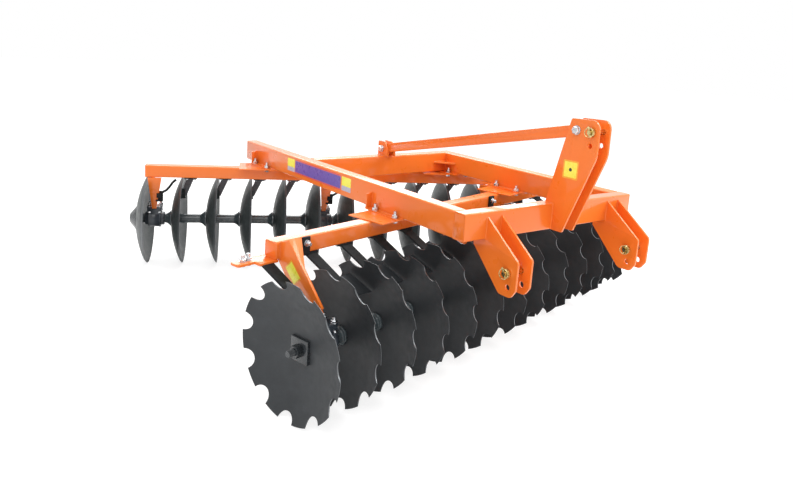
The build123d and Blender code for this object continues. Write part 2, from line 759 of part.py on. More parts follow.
# End plate under the front gang beam's near end; the first scraper's shank starts from it
first_leg_x = disc_spacing + first_scraper_shift - front_scraper_sizes[2]
plate_front = front_beam_back
plate_step = front_beam_back + gang_beam_side / 2
plate_back = plate_step + end_plate_width
plate_near = front_beam_start - end_plate_reach
end_plate = make_face(Polyline([
    (plate_near, plate_step),
    (plate_near, plate_back),
    (plate_near + end_plate_length, plate_back),
    (plate_near + end_plate_length, plate_front),
    (first_leg_x - scraper_leg_width / 2, plate_front),
    (first_leg_x - scraper_leg_width / 2, plate_step),
], close=True))
end_plate = fillet(end_plate.vertices().sort_by(Axis.X)[0:2], 14)
end_plate = Pos(0, 0, gang_beam_bottom - scraper_leg_thickness) * extrude(end_plate, scraper_leg_thickness)
add("scraper_end_plate", front_gang_place * end_plate)

# Straps on the front gang beam's front face
straps = []
for x in strap_places:
    straps.append(front_gang_place * block(
        x - strap_width / 2, x + strap_width / 2, front_beam_back - strap_thickness, front_beam_back,
        gang_beam_bottom - strap_overlap, gang_beam_top,
    ))
add("beam_straps", straps)

# Stand the part over its own origin and write every node
boxes = [solid.bounding_box() for solids in nodes.values() for solid in solids]
low_x, high_x = min(b.min.X for b in boxes), max(b.max.X for b in boxes)
low_y, high_y = min(b.min.Y for b in boxes), max(b.max.Y for b in boxes)
shift = Pos(-(low_x + high_x) / 2, -(low_y + high_y) / 2, -min(b.min.Z for b in boxes))
os.makedirs("parts", exist_ok=True)
for name, solids in nodes.items():
    moved = [shift * solid for solid in solids]
    export_step(moved[0] if len(moved) == 1 else Compound(moved), f"parts/{name}.step")
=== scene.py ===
import json
import math

import bmesh
import bpy
from mathutils import Matrix, Vector


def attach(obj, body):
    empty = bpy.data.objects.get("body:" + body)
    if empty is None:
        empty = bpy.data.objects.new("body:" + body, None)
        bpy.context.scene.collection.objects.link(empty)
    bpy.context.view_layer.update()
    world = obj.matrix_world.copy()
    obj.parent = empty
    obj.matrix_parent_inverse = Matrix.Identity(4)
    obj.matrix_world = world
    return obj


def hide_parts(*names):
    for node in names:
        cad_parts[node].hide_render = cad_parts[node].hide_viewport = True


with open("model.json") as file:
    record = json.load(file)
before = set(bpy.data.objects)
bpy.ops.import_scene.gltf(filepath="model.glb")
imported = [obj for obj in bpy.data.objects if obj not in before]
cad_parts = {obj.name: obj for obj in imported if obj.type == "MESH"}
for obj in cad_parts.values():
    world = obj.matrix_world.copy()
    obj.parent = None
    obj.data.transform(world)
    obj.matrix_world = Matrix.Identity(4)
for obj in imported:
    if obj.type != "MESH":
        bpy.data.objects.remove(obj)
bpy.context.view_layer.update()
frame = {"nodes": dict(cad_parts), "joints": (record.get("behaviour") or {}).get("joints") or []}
cad_nodes = frame["nodes"]
joints = {joint["name"]: joint for joint in frame["joints"]}

# The harrow's sizes as the solids have them, in millimetres, with the first tooth in degrees
DISC_RADIUS = 305.0
DISC_SPACING = 230.0
DISC_THICKNESS = 6.0
DISC_DISH = 72.0
DISC_FLAT = 75.0
DISC_EDGE = 2.0
DISC_BEVEL = 14.0
NOTCH_COUNT = 11
NOTCH_RADIUS = 44.0
NOTCH_OUT = 308.0
NOTCH_DEEPEST = 262.0
FIRST_TOOTH = 14.4
SHAFT_HOLE = 16.5
FRONT_DISCS = 13
REAR_DISCS = 12
APEX = DISC_DISH + DISC_THICKNESS
FRONT_BEARINGS = (190.0, 1340.0, 2720.0)
REAR_BEARINGS = (40.0, 1190.0, 2340.0)
# Heights, from the bearing housings' flanges up to the top of the frame
FLANGE_BOTTOM = 363.0
FLANGE_TOP = 381.0
FOOT_TOP = 393.0
LEG_BOTTOM = 601.0
BEAM_BOTTOM = 613.0
BEAM_TOP = 693.0
FRAME_BOTTOM = 705.0
FRAME_TOP = 837.0
# The two faces of each gang beam, across its gang
FRONT_GANG_BEAM = (260.0, 340.0)
REAR_GANG_BEAM = (-120.0, -40.0)
# The two faces of the frame's beams, along X for the side beams and along Y for the others
RIGHT_BEAM = (831.0, 911.0)
LEFT_BEAM = (1977.0, 2057.0)
FRONT_BEAM = (-100.0, -20.0)
CROSS_BEAM = (1360.0, 1440.0)
HITCH_CENTRES = (1022.0, 1912.0)
MAST_CENTRE = 1467.0
# From the mast's middle to the faces of its plates, and of the tie bar's ears
MAST_FACES = (35.0, 47.0)
EAR_FACES = (20.3, 32.3)
# Half a rib's or hanger's thickness, and how far the front hangers stand beside their bearings
PLATE_HALF = 6.0
FRONT_HANGER_SIDE = -22.0
# Pins and bolts that lie along X, as (y, z)
HITCH_PIN = (-254.0, 587.0)
TOP_LINK_PIN = (-286.0, 1222.0)
TIE_BAR_FRONT_BOLT = (-197.0, 1222.0)
TIE_BAR_REAR_BOLT = (1400.0, 883.0)


# Places: every frame below turns millimetres on the harrow into metres in the scene

def gang_axes(joint):
    """Along the gang's shaft, rearwards across it, and up from the ground."""
    along = Vector(joint["axis"])
    across = Vector((0, 0, 1)).cross(along)
    place = joint["pos_m"]
    turn = Matrix((along, across, (0, 0, 1))).transposed().to_4x4()
    return Matrix.Translation((place[0], place[1], 0)) @ turn @ Matrix.Scale(0.001, 4)


FRONT = gang_axes(joints["front_gang_spin"])
REAR = gang_axes(joints["rear_gang_spin"])
MAIN = Matrix.Translation(FRONT.translation) @ Matrix.Scale(0.001, 4)


def halfway(faces):
    """The middle between two faces."""
    return sum(faces) / 2


# Materials

class Finish:
    """A material's node tree, with short calls for the nodes that the finishes use."""

    def __init__(self, name):
        self.material = bpy.data.materials.new(name)
        self.material.use_nodes = True
        self.tree = self.material.node_tree
        self.tree.nodes.clear()
        self.shader = self.add("ShaderNodeBsdfPrincipled")
        output = self.add("ShaderNodeOutputMaterial")
        self.join(self.shader.outputs[0], output.inputs["Surface"])
        self.places = self.add("ShaderNodeTexCoord").outputs["Object"]

    def add(self, kind, **settings):
        node = self.tree.nodes.new(kind)
        for key, value in settings.items():
            setattr(node, key, value)
        return node

    def join(self, output, socket):
        self.tree.links.new(output, socket)

    def plain(self, **values):
        """Set values that are the same all over, on the shader itself."""
        for key, value in values.items():
            self.shader.inputs[key.replace("_", " ")].default_value = value

    def stretched(self, scale, turn=0.0):
        node = self.add("ShaderNodeMapping")
        node.inputs["Scale"].default_value = scale
        node.inputs["Rotation"].default_value = (0, 0, turn)
        self.join(self.places, node.inputs["Vector"])
        return node.outputs["Vector"]

    def noise(self, scale, detail=3.0, roughness=0.5, places=None):
        node = self.add("ShaderNodeTexNoise")
        node.inputs["Scale"].default_value = scale
        node.inputs["Detail"].default_value = detail
        node.inputs["Roughness"].default_value = roughness
        self.join(places or self.places, node.inputs["Vector"])
        return node.outputs["Fac"]

    def ramp(self, source, stops):
        """Colours or greys at places along a source, as (place, colour) pairs."""
        node = self.add("ShaderNodeValToRGB")
        elements = node.color_ramp.elements
        while len(elements) < len(stops):
            elements.new(0.5)
        for element, (place, colour) in zip(elements, stops):
            element.position = place
            element.color = (*colour, 1.0)
        self.join(source, node.inputs["Fac"])
        return node.outputs["Color"]

    def grey(self, source, low, high, start=0.3, end=0.7):
        """A value that runs from low to high over part of a source."""
        node = self.add("ShaderNodeMapRange")
        names = ("From Min", "From Max", "To Min", "To Max")
        for key, value in zip(names, (start, end, low, high)):
            node.inputs[key].default_value = value
        self.join(source, node.inputs["Value"])
        return node.outputs["Result"]

    def mixed(self, share, first, second):
        """Two colours mixed by a share; each is a socket or a colour."""
        node = self.add("ShaderNodeMix", data_type="RGBA")
        for socket, value in ((node.inputs[6], first), (node.inputs[7], second)):
            if isinstance(value, tuple):
                socket.default_value = (*value, 1.0)
            else:
                self.join(value, socket)
        self.join(share, node.inputs[0])
        return node.outputs[2]

    def colour(self, source):
        self.join(source, self.shader.inputs["Base Color"])

    def rough(self, source):
        self.join(source, self.shader.inputs["Roughness"])

    def bump(self, *layers):
        """Stack bumps, each a (height source, strength, distance in metres)."""
        normal = None
        for height, strength, distance in layers:
            node = self.add("ShaderNodeBump")
            node.inputs["Strength"].default_value = strength
            node.inputs["Distance"].default_value = distance
            self.join(height, node.inputs["Height"])
            if normal:
                self.join(normal, node.inputs["Normal"])
            normal = node.outputs["Normal"]
        self.join(normal, self.shader.inputs["Normal"])


def orange_enamel():
    """Glossy orange machine paint: orange peel, slight sags and a little road dust."""
    paint = Finish("orange_enamel")
    broad = paint.noise(2.4, 4.0, 0.6)
    fine = paint.noise(90.0, 3.0, 0.55)
    tint = paint.ramp(broad, [(0.30, (0.83, 0.176, 0.019)), (0.70, (0.88, 0.196, 0.026))])
    dust = paint.grey(fine, 0.0, 0.10, 0.62, 0.80)
    paint.colour(paint.mixed(dust, tint, (0.70, 0.24, 0.06)))
    paint.rough(paint.grey(paint.noise(14.0, 4.0), 0.26, 0.36))
    peel = paint.noise(420.0, 2.0, 0.4)
    sag = paint.noise(26.0, 2.0, 0.5, paint.stretched((1.0, 1.0, 0.35)))
    paint.bump((sag, 0.10, 0.002), (peel, 0.05, 0.0006))
    paint.plain(Coat_Weight=0.5, Coat_Roughness=0.07, Specular_IOR_Level=0.25)
    return paint.material


def disc_steel(name, dark, light, cast, streaks, shine):
    """Rolled disc steel under thin dark lacquer, mottled, with faint streaks of the cast colour."""
    steel = Finish(name)
    cloud = steel.noise(5.0, 5.0, 0.62)
    streak = steel.noise(9.0, 4.0, 0.7, steel.stretched((1.0, 1.0, streaks), 0.2))
    base = steel.ramp(cloud, [(0.28, dark), (0.74, light)])
    share = steel.grey(streak, 0.0, 0.35, 0.50, 0.80)
    steel.colour(steel.mixed(share, base, cast))
    steel.rough(steel.grey(steel.noise(30.0, 4.0, 0.6), 0.40, 0.54))
    grain = steel.noise(240.0, 3.0, 0.6)
    steel.bump((steel.noise(18.0, 3.0), 0.06, 0.0015), (grain, 0.05, 0.0004))
    steel.plain(Metallic=0.05, Coat_Weight=shine, Coat_Roughness=0.25, Specular_IOR_Level=0.3)
    return steel.material


def ground_edge():
    """The bare ground edge of a disc: bright steel with fine grinding lines."""
    edge = Finish("ground_disc_edge")
    lines = edge.noise(700.0, 2.0, 0.6)
    edge.colour(edge.ramp(lines, [(0.3, (0.09, 0.095, 0.10)), (0.7, (0.20, 0.21, 0.22))]))
    edge.rough(edge.grey(lines, 0.34, 0.52))
    edge.bump((lines, 0.15, 0.0003))
    edge.plain(Metallic=0.9)
    return edge.material


def black_paint(name, roughness, grain_height, dark, light):
    """Black paint on turned or cast iron, with its grain; the faint blue in its colours is a
    painted sheen.
    """
    black = Finish(name)
    cloud = black.noise(16.0, 4.0, 0.6)
    # The blue in both stops is a painted sheen
    black.colour(black.ramp(cloud, [(0.3, dark), (0.75, light)]))
    black.rough(black.grey(black.noise(55.0, 3.0), roughness - 0.08, roughness + 0.08))
    black.bump((black.noise(220.0, 3.0, 0.6), 0.22, grain_height))
    black.plain(Coat_Weight=0.4, Coat_Roughness=0.15)
    return black.material


def scraper_paint(name, dark, middle, light):
    """Satin dark grey on rolled flat bar, scuffed lighter here and there."""
    bar = Finish(name)
    scuff = bar.noise(30.0, 5.0, 0.7, bar.stretched((1.0, 1.0, 2.5)))
    bar.colour(bar.ramp(scuff, [(0.35, dark), (0.68, middle), (0.85, light)]))
    bar.rough(bar.grey(scuff, 0.60, 0.76))
    bar.bump((bar.noise(180.0, 3.0, 0.6), 0.2, 0.0006))
    bar.plain(Coat_Weight=0.05, Coat_Roughness=0.4, Specular_IOR_Level=0.08)
    return bar.material


def zinc(name, pale, deep, roughness):
    """Zinc plate: a soft spangle over metal."""
    plate = Finish(name)
    spangle = plate.add("ShaderNodeTexVoronoi", feature="F1")
    spangle.inputs["Scale"].default_value = 260.0
    plate.join(plate.places, spangle.inputs["Vector"])
    tone = plate.ramp(spangle.outputs["Color"], [(0.2, deep), (0.8, pale)])
    stain = plate.grey(plate.noise(45.0, 4.0, 0.6), 0.0, 0.5, 0.5, 0.75)
    plate.colour(plate.mixed(stain, tone, deep))
    plate.rough(plate.grey(plate.noise(120.0, 3.0), roughness - 0.07, roughness + 0.09))
    plate.bump((plate.noise(500.0, 2.0), 0.12, 0.0003))
    plate.plain(Metallic=1.0)
    return plate.material


def sticker_film(name, colour, shade):
    """Printed vinyl film, very slightly uneven, under a gloss layer."""
    film = Finish(name)
    print_tone = film.noise(70.0, 3.0, 0.5)
    film.colour(film.ramp(print_tone, [(0.35, shade), (0.65, colour)]))
    film.rough(film.grey(film.noise(30.0), 0.24, 0.36))
    film.bump((film.noise(60.0, 2.0), 0.08, 0.0004))
    film.plain(Coat_Weight=0.3, Coat_Roughness=0.12)
    return film.material


ORANGE = orange_enamel()
NOTCHED_STEEL = disc_steel(
    "notched_disc_lacquer", (0.031, 0.034, 0.037), (0.046, 0.050, 0.054), (0.056, 0.063, 0.071),
    streaks=2.0, shine=0.04)
PLAIN_STEEL = disc_steel(
    "plain_disc_lacquer", (0.022, 0.027, 0.028), (0.045, 0.054, 0.054), (0.095, 0.108, 0.104),
    streaks=6.0, shine=0.10)
EDGE_STEEL = ground_edge()
GANG_BLACK = black_paint(
    "gang_black_gloss", 0.26, 0.0002, (0.016, 0.019, 0.022), (0.036, 0.042, 0.047))
# The spools' black is lighter and bluer than the rest of the gang's black: a painted highlight
# where the lamps catch them
SPOOL_BLACK = black_paint(
    "spool_black_gloss", 0.24, 0.0002, (0.034, 0.044, 0.048), (0.076, 0.096, 0.104))
CASTING = black_paint(
    "cast_housing_paint", 0.36, 0.0007, (0.026, 0.033, 0.042), (0.054, 0.067, 0.083))
SCRAPER_GREY = scraper_paint(
    "scraper_bar_paint", (0.013, 0.015, 0.016), (0.026, 0.029, 0.030), (0.060, 0.065, 0.065))
SHANK_GREY = scraper_paint(
    "rear_shank_paint", (0.150, 0.150, 0.160), (0.200, 0.200, 0.215), (0.260, 0.260, 0.280))
YELLOW_ZINC = zinc("yellow_zinc_plate", (0.86, 0.72, 0.36), (0.50, 0.40, 0.16), 0.26)
BRIGHT_ZINC = zinc("bright_zinc_plate", (0.80, 0.81, 0.83), (0.50, 0.52, 0.54), 0.24)
STICKER_YELLOW = sticker_film("sticker_yellow", (0.92, 0.86, 0.10), (0.86, 0.78, 0.06))
STICKER_BORDER = sticker_film("sticker_border", (0.90, 0.42, 0.03), (0.82, 0.34, 0.02))
STICKER_DARK = sticker_film("sticker_dark_dot", (0.02, 0.02, 0.02), (0.03, 0.03, 0.03))
BAND_VIOLET = sticker_film("side_band_violet", (0.16, 0.10, 0.42), (0.13, 0.08, 0.36))
BAND_LILAC = sticker_film("side_band_lilac", (0.50, 0.48, 0.58), (0.44, 0.43, 0.53))
BAND_RED = sticker_film("side_band_red", (0.70, 0.05, 0.10), (0.62, 0.04, 0.08))


# Pieces

def placed(name, data):
    """A new object in the scene."""
    item = bpy.data.objects.new(name, data)
    bpy.context.scene.collection.objects.link(item)
    return item


def mesh_from(name, bm):
    """A mesh with what a bmesh holds; the bmesh goes."""
    mesh = bpy.data.meshes.new(name)
    bm.to_mesh(mesh)
    bm.free()
    return mesh


def mesh_piece(name, bm, body, materials, sharp=30.0):
    """Close a bmesh into a piece that rides on a body."""
    return keep_mesh(name, mesh_from(name, bm), body, materials, sharp)


def keep_mesh(name, mesh, body, materials, sharp):
    """A piece of a finished mesh that rides on a body, smooth but for its sharp edges."""
    if not mesh.materials:
        for material in materials if isinstance(materials, (list, tuple)) else [materials]:
            mesh.materials.append(material)
    mesh.shade_smooth()
    mesh.set_sharp_from_angle(angle=math.radians(sharp))
    piece = placed(name, mesh)
    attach(piece, body)
    return piece


def baked(work):
    """The plain mesh of a work object with its modifiers applied; the work object goes."""
    bpy.context.view_layer.update()
    graph = bpy.context.evaluated_depsgraph_get()
    mesh = bpy.data.meshes.new_from_object(work.evaluated_get(graph))
    bpy.data.objects.remove(work)
    return mesh


def rounded_off(name, mesh, width, angle):
    """A mesh with a small round on every edge sharper than an angle in degrees."""
    work = placed(name + "_work", mesh)
    bevel = work.modifiers.new("corner_round", "BEVEL")
    bevel.width = width
    bevel.segments = 2
    bevel.limit_method = "ANGLE"
    bevel.angle_limit = math.radians(angle)
    return baked(work)


def softened(node, body, material, width=0.0012):
    """A CAD node's shape with its hard corners broken by a small round."""
    bm = bmesh.new()
    bm.from_mesh(cad_nodes[node].data)
    bmesh.ops.remove_doubles(bm, verts=bm.verts, dist=2e-6)
    bmesh.ops.dissolve_limit(bm, angle_limit=math.radians(0.5), verts=bm.verts, edges=bm.edges)
    mesh = rounded_off(node, mesh_from(node + "_soft", bm), width, 35.0)
    piece = keep_mesh(node + "_piece", mesh, body, material, 28.0)
    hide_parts(node)


def lathe(bm, axes, middle, profile, segments):
    """Turn a closed (x, r) profile round a line along X through a middle point, in millimetres."""
    rings = []
    for x, r in profile:
        ring = []
        for i in range(segments):
            angle = 2 * math.pi * i / segments
            y, z = middle[1] + r * math.cos(angle), middle[2] + r * math.sin(angle)
            ring.append(bm.verts.new(axes @ Vector((middle[0] + x, y, z))))
        rings.append(ring)
    faces = []
    for first, second in zip(rings, rings[1:] + rings[:1]):
        for i in range(segments):
            j = (i + 1) % segments
            faces.append(bm.faces.new((first[i], first[j], second[j], second[i])))
    bmesh.ops.recalc_face_normals(bm, faces=faces)


def prism(bm, axes, outline, low, high, index=0):
    """A straight block over an (x, y) outline between two heights, all in millimetres."""
    bottom = [bm.verts.new(axes @ Vector((x, y, low))) for x, y in outline]
    top = [bm.verts.new(axes @ Vector((x, y, high))) for x, y in outline]
    faces = [bm.faces.new(bottom), bm.faces.new(top)]
    for i in range(len(outline)):
        j = (i + 1) % len(outline)
        faces.append(bm.faces.new((bottom[i], bottom[j], top[j], top[i])))
    for face in faces:
        face.material_index = index
    bmesh.ops.recalc_face_normals(bm, faces=faces)


def rod(bm, axes, path, radius, sides, closed=False):
    """A round bar along a path, all in millimetres."""
    points = [Vector(point) for point in path]
    normal, rings = None, []
    for i, point in enumerate(points):
        before = points[i - 1] if i or closed else point
        after = points[(i + 1) % len(points)] if closed or i + 1 < len(points) else point
        ahead = (after - before).normalized()
        normal = (normal or ahead.orthogonal()).copy()
        normal = (normal - ahead * normal.dot(ahead)).normalized()
        side = ahead.cross(normal)
        angles = [2 * math.pi * k / sides for k in range(sides)]
        spots = [point + radius * (math.cos(a) * normal + math.sin(a) * side) for a in angles]
        rings.append([bm.verts.new(axes @ spot) for spot in spots])
    faces = []
    for first, second in zip(rings, rings[1:] + rings[:1] if closed else rings[1:]):
        for k in range(sides):
            j = (k + 1) % sides
            faces.append(bm.faces.new((first[k], first[j], second[j], second[k])))
    if not closed:
        faces += [bm.faces.new(rings[0]), bm.faces.new(rings[-1])]
    bmesh.ops.recalc_face_normals(bm, faces=faces)


def rounded_box(x0, x1, y0, y1, corner):
    """An (x, y) outline of a rectangle with round corners."""
    points = []
    steps = 4
    for cx, cy, start in ((x1 - corner, y1 - corner, 0), (x0 + corner, y1 - corner, 90),
                          (x0 + corner, y0 + corner, 180), (x1 - corner, y0 + corner, 270)):
        for i in range(steps + 1):
            angle = math.radians(start + 90 * i / steps)
            points.append((cx + corner * math.cos(angle), cy + corner * math.sin(angle)))
    return points


# Discs

DISH_CENTRE = (DISC_DISH**2 + DISC_FLAT**2 - DISC_RADIUS**2) / (2 * DISC_DISH)
DISH_SPHERE = math.hypot(DISH_CENTRE, DISC_RADIUS)
BEVEL_R = DISC_RADIUS - DISC_BEVEL


def hollow_x(r):
    """Depth of a disc's hollow face behind its rim."""
    return DISC_DISH if r <= DISC_FLAT else DISH_CENTRE + math.sqrt(DISH_SPHERE**2 - r**2)


def back_x(r):
    """Depth of a disc's back behind its rim."""
    sphere = DISH_SPHERE + DISC_THICKNESS
    if r >= BEVEL_R:
        bevel_x = DISH_CENTRE + math.sqrt(sphere**2 - BEVEL_R**2)
        return DISC_EDGE + (bevel_x - DISC_EDGE) * (DISC_RADIUS - r) / DISC_BEVEL
    return min(APEX, DISH_CENTRE + math.sqrt(sphere**2 - r**2))


def plain_rim():
    return [(2 * math.pi * i / 120, DISC_RADIUS) for i in range(120)]


def notched_rim():
    """(angle, radius) round the rim, dense where the notches' walls run steep."""
    points = []
    opposite = DISC_RADIUS**2 + NOTCH_OUT**2 - NOTCH_RADIUS**2
    half = math.acos(opposite / (2 * DISC_RADIUS * NOTCH_OUT))
    turn = math.acos((NOTCH_OUT - DISC_RADIUS * math.cos(half)) / NOTCH_RADIUS)
    pitch = 2 * math.pi / NOTCH_COUNT
    for k in range(NOTCH_COUNT):
        middle = math.radians(FIRST_TOOTH) + (k + 0.5) * pitch
        for i in range(15):
            swing = turn * (i / 7 - 1)
            out = NOTCH_OUT - NOTCH_RADIUS * math.cos(swing)
            side = NOTCH_RADIUS * math.sin(swing)
            points.append((middle + math.atan2(side, out), math.hypot(out, side)))
        for i in range(1, 5):
            points.append((middle + half + (pitch - 2 * half) * i / 5, DISC_RADIUS))
    return points


def add_disc(bm, axes, x, back_sign, turn, rim, steps):
    """One dished disc whose rim's plane is at x; its wall and bevel take the second material."""
    # radii of the rings that stay round, up to the notches
    fixed = [30.0, 52.0, DISC_FLAT]
    for i in range(1, steps + 1):
        fixed.append(DISC_FLAT + (NOTCH_DEEPEST - DISC_FLAT) * i / steps)

    def row(height, radius_of):
        ring = []
        for angle, edge in rim:
            r = radius_of(angle, edge)
            side = angle + turn
            y, z = -r * math.sin(side), DISC_RADIUS - r * math.cos(side)
            ring.append(bm.verts.new(axes @ Vector((x + back_sign * height(r), y, z))))
        return ring

    def square_hole(angle, edge):
        return SHAFT_HOLE / max(abs(math.sin(angle)), abs(math.cos(angle)))

    rows = [row(hollow_x, square_hole)]
    rows += [row(hollow_x, lambda angle, edge, r=r: r) for r in fixed]
    rows.append(row(hollow_x, lambda angle, edge: (NOTCH_DEEPEST + edge) / 2))
    rows.append(row(hollow_x, lambda angle, edge: edge - 0.7))
    rows.append(row(lambda r: hollow_x(r) + 0.5, lambda angle, edge: edge))
    first_bright = len(rows) - 2
    rows.append(row(back_x, lambda angle, edge: edge))
    rows.append(row(back_x, lambda angle, edge: min(BEVEL_R, edge - 0.4)))
    last_bright = len(rows) - 1
    rows.append(row(back_x, lambda angle, edge: (NOTCH_DEEPEST + min(BEVEL_R, edge - 0.4)) / 2))
    rows += [row(back_x, lambda angle, edge, r=r: r) for r in reversed(fixed)]
    rows.append(row(back_x, square_hole))
    faces = []
    for k, (first, second) in enumerate(zip(rows, rows[1:] + rows[:1])):
        bright = first_bright <= k < last_bright
        for i in range(len(rim)):
            j = (i + 1) % len(rim)
            face = bm.faces.new((first[i], first[j], second[j], second[i]))
            face.material_index = 1 if bright else 0
            faces.append(face)
    bmesh.ops.recalc_face_normals(bm, faces=faces)


def gang_discs(name, axes, count, back_sign, rim, steps, steel):
    bm = bmesh.new()
    for i in range(count):
        add_disc(bm, axes, i * DISC_SPACING, back_sign, math.pi * (i % 2), rim, steps)
    piece = mesh_piece(name + "_disc_set", bm, name, [steel, EDGE_STEEL], 24.0)
    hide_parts(name + "_discs")


gang_discs(
    "front_gang", FRONT, FRONT_DISCS, 1, notched_rim(), 8, NOTCHED_STEEL)
gang_discs("rear_gang", REAR, REAR_DISCS, -1, plain_rim(), 9, PLAIN_STEEL)


# Spools and bearings

SPOOL_PROFILE = [
    # along the spool from the disc's back, radius
    (0, 17), (0, 54), (1, 55), (7, 55), (9, 54), (16, 46.5), (24, 39.5), (33, 34), (42, 31.4),
    (52, 31), (120, 31), (198, 31), (206, 32), (209, 35), (211, 41), (212.5, 43.4), (214, 44),
    (222.5, 44), (224, 42.8), (224, 17),
]


def gang_spools(name, axes, count, back_sign):
    bm = bmesh.new()
    for i in range(count - 1):
        start = i * DISC_SPACING + APEX if back_sign > 0 else (i + 1) * DISC_SPACING - APEX
        profile = [(back_sign * x, r) for x, r in SPOOL_PROFILE]
        lathe(bm, axes, (start, 0, DISC_RADIUS), profile, 40)
    piece = mesh_piece(name + "_spool_set", bm, name, SPOOL_BLACK, 40.0)
    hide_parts(name + "_spools")


gang_spools("front_gang", FRONT, FRONT_DISCS, 1)
gang_spools("rear_gang", REAR, REAR_DISCS, -1)

HOUSING_PROFILE = [
    # along the housing, radius
    (-64, 31.4), (-64, 40), (-62, 44), (-58, 46), (-45, 46), (-42.5, 47.5), (-42, 50), (-42, 57),
    (-39, 60), (-28, 60), (-25, 58), (25, 58), (28, 60), (39, 60), (42, 57), (42, 50), (42.5, 47.5),
    (45, 46), (58, 46), (62, 44), (64, 40), (64, 31.4),
]


def bearing_set(name, axes, places):
    """Cast bearing housings with a webbed neck and a flange under the hanger's foot."""
    bm = bmesh.new()
    for x in places:
        lathe(bm, axes, (x, 0, DISC_RADIUS), HOUSING_PROFILE, 40)
        spot = axes @ Matrix.Translation((x, 0, 0))
        prism(bm, spot, rounded_box(-48, 48, -48, 48, 10), FLANGE_BOTTOM, FLANGE_TOP)
        prism(bm, spot, rounded_box(-41, 41, -44, 44, 12), DISC_RADIUS + 20, FLANGE_BOTTOM + 2)
        for side in (-1, 1):
            web = [(side * 47, -6), (side * 47, 6), (side * 36, 6), (side * 36, -6)]
            prism(bm, spot, web, DISC_RADIUS + 34, FLANGE_BOTTOM + 2)
    mesh = rounded_off(name, mesh_from(name + "_cast", bm), 0.0025, 50.0)
    piece = keep_mesh(name + "_housings", mesh, "frame", CASTING, 40.0)
    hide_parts(name)


bearing_set("front_bearings", FRONT, FRONT_BEARINGS)
bearing_set("rear_bearings", REAR, REAR_BEARINGS)

# Painted beams and plates, the dark flat bar parts, and the shafts' own parts
for node in (
    "front_hangers", "rear_hangers", "front_gang_beam", "rear_gang_beam", "front_beam",
    "right_side_beam", "left_side_beam", "cross_beam", "beam_end_caps", "corner_gussets",
    "gang_beam_plates", "frame_plates", "crossing_ribs", "right_hitch_plates",
    "left_hitch_plates", "mast_plates", "tie_bar", "tie_bar_ears", "scraper_end_plate",
):
    softened(node, "frame", ORANGE, 0.0018)
for node, material in (
    ("front_scraper_legs", SCRAPER_GREY),
    ("front_scraper_blades", NOTCHED_STEEL),
    ("front_scraper_shanks", SCRAPER_GREY),
    ("rear_scraper_legs", SCRAPER_GREY),
    ("rear_scraper_blades", PLAIN_STEEL),
    ("rear_scraper_shanks", SHANK_GREY),
    ("beam_straps", SCRAPER_GREY),
):
    softened(node, "frame", material)
# The hangers' feet are black like the housings that they clamp
for node in ("front_hangers", "rear_hangers"):
    mesh = bpy.data.objects[node + "_piece"].data
    mesh.materials.append(CASTING)
    for face in mesh.polygons:
        if all(mesh.vertices[i].co.z < (FOOT_TOP + 0.5) / 1000 for i in face.vertices):
            face.material_index = 1
for body, parts in (
    ("front_gang", ("_shaft", "_end_washer", "_nut", "_far_washer")),
    ("rear_gang", ("_shaft", "_end_bell", "_far_washer")),
):
    for part in parts:
        softened(body + part, body, GANG_BLACK, 0.0016)


# Bolts and nuts

def new_tree(name, inputs):
    """A geometry tree with named inputs; gives the tree and short calls that add nodes to it."""
    tree = bpy.data.node_groups.new(name, "GeometryNodeTree")
    for label, kind in (("Geometry", "Geometry"), *inputs):
        tree.interface.new_socket(label, in_out="INPUT", socket_type="NodeSocket" + kind)
    tree.interface.new_socket("Geometry", in_out="OUTPUT", socket_type="NodeSocketGeometry")

    def add(kind, links=None, **settings):
        node = tree.nodes.new(kind)
        for key, value in settings.items():
            setattr(node, key, value)
        for key, value in (links or {}).items():
            if isinstance(value, bpy.types.NodeSocket):
                tree.links.new(value, node.inputs[key])
            else:
                node.inputs[key].default_value = value
        return node

    def maths(operation, *values):
        return add("ShaderNodeMath", dict(enumerate(values)), operation=operation).outputs[0]

    return tree, add, maths


def random_value(add, low, high, seed):
    """A number between two for every point, always the same for its seed."""
    links = {2: low, 3: high, "Seed": seed}
    return add("FunctionNodeRandomValue", links, data_type="FLOAT").outputs[1]


def end_tree(add, geometry, material):
    """Make a tree's geometry real, give it its material and put it out."""
    real = add("GeometryNodeRealizeInstances", {"Geometry": geometry}).outputs[0]
    done = add("GeometryNodeSetMaterial", {"Geometry": real, "Material": material}).outputs[0]
    add("NodeGroupOutput", {0: done})


# A fastener's sizes, counted in radii of its shank; the wave is in radians over one such radius
WASHER_RADIUS = 1.9
HEX_RADIUS = 1.72
CROWN_RADIUS = 1.42
THREAD_RADIUS = 0.93
THREAD_WAVE = 22.0
THREAD_DEPTH = 0.05
# The straight and the tapered share of its hexagon's height
BODY_SHARE = 0.78
CROWN_SHARE = 0.22


